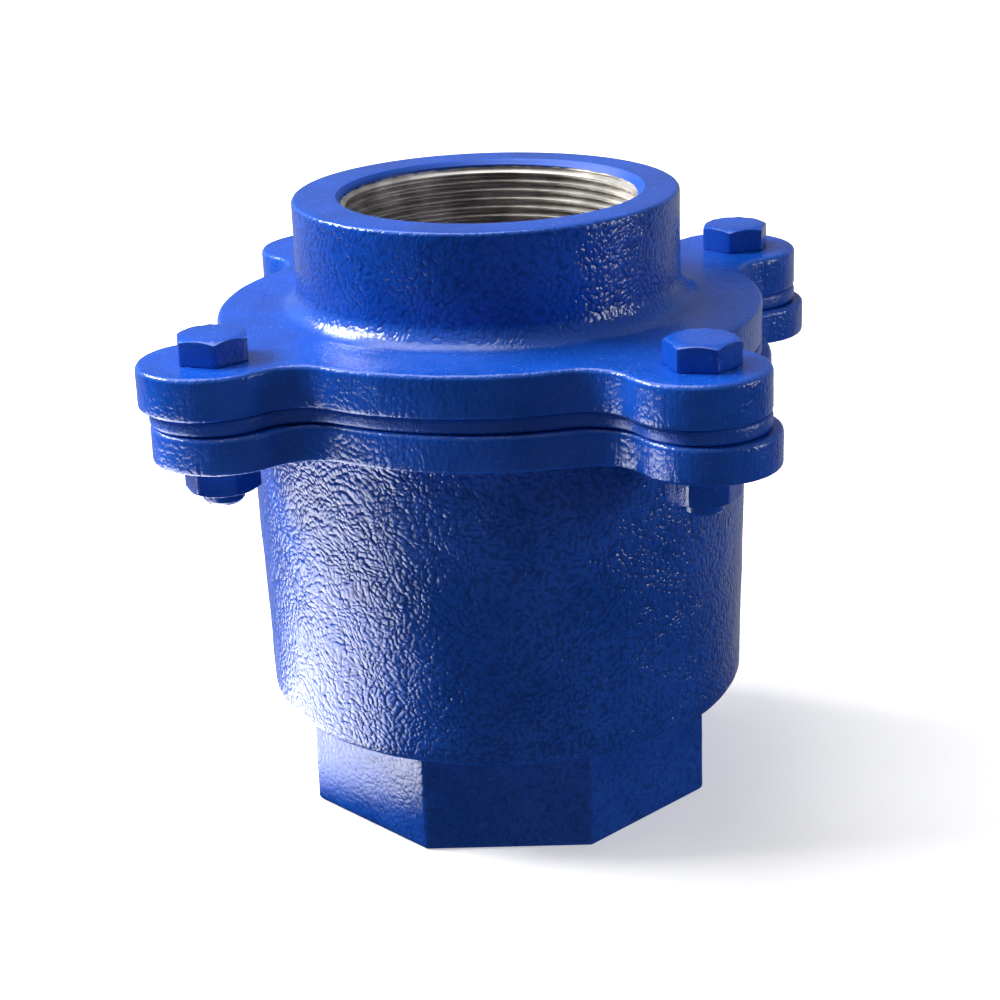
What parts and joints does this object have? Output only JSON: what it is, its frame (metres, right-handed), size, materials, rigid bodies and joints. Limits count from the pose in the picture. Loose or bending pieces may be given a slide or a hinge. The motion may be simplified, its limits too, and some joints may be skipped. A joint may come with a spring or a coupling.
{
  "type": "foot valve",
  "caption": "Spring-closed lift-type foot valve with an eared bolted flange joint, an octagonal threaded inlet boss and a round threaded outlet hub.",
  "frame": {"origin": "centre of the inlet boss's bottom face, on the flow axis", "axes": "+Z along the flow axis, from the inlet up to the outlet; +X to the right and +Y to the back, seen with one boss face to the front"},
  "size_m": [0.1686, 0.1662, 0.157],
  "materials": {
    "blue_enamel": "glossy royal blue enamel over a rough iron casting",
    "painted_gasket": "rubber sheet, its edge painted over in the same blue",
    "bronze": "machined and cast bronze",
    "stainless_steel": "turned stainless steel",
    "nitrile_rubber": "moulded black rubber",
    "spring_steel": "drawn spring wire"
  },
  "bodies": {
    "root": {"valve_body": "blue_enamel", "cover": "blue_enamel", "flange_gasket": "painted_gasket", "seat_ring": "bronze", "seat_o_ring": "nitrile_rubber", "lower_bush": "bronze", "upper_guide": "bronze", "upper_bush": "bronze", "guide_circlip": "stainless_steel", "closing_spring": "spring_steel", "flange_bolts": "blue_enamel", "flange_nuts": "blue_enamel"},
    "disc_assembly": {"stem": "stainless_steel", "disc": "bronze", "disc_facing": "nitrile_rubber", "facing_plate": "bronze", "lock_washer": "stainless_steel", "stem_nut": "stainless_steel", "split_pin": "stainless_steel", "spring_cup": "stainless_steel"}
  },
  "joints": [
    {"name": "disc_lift", "type": "slide", "parent": "root", "child": "disc_assembly", "axis": [0, 0, 1], "range_m": [0, 0.014], "stiffness_N_per_m": 860, "springref_m": -0.006, "deforming": ["closing_spring"]}
  ]
}
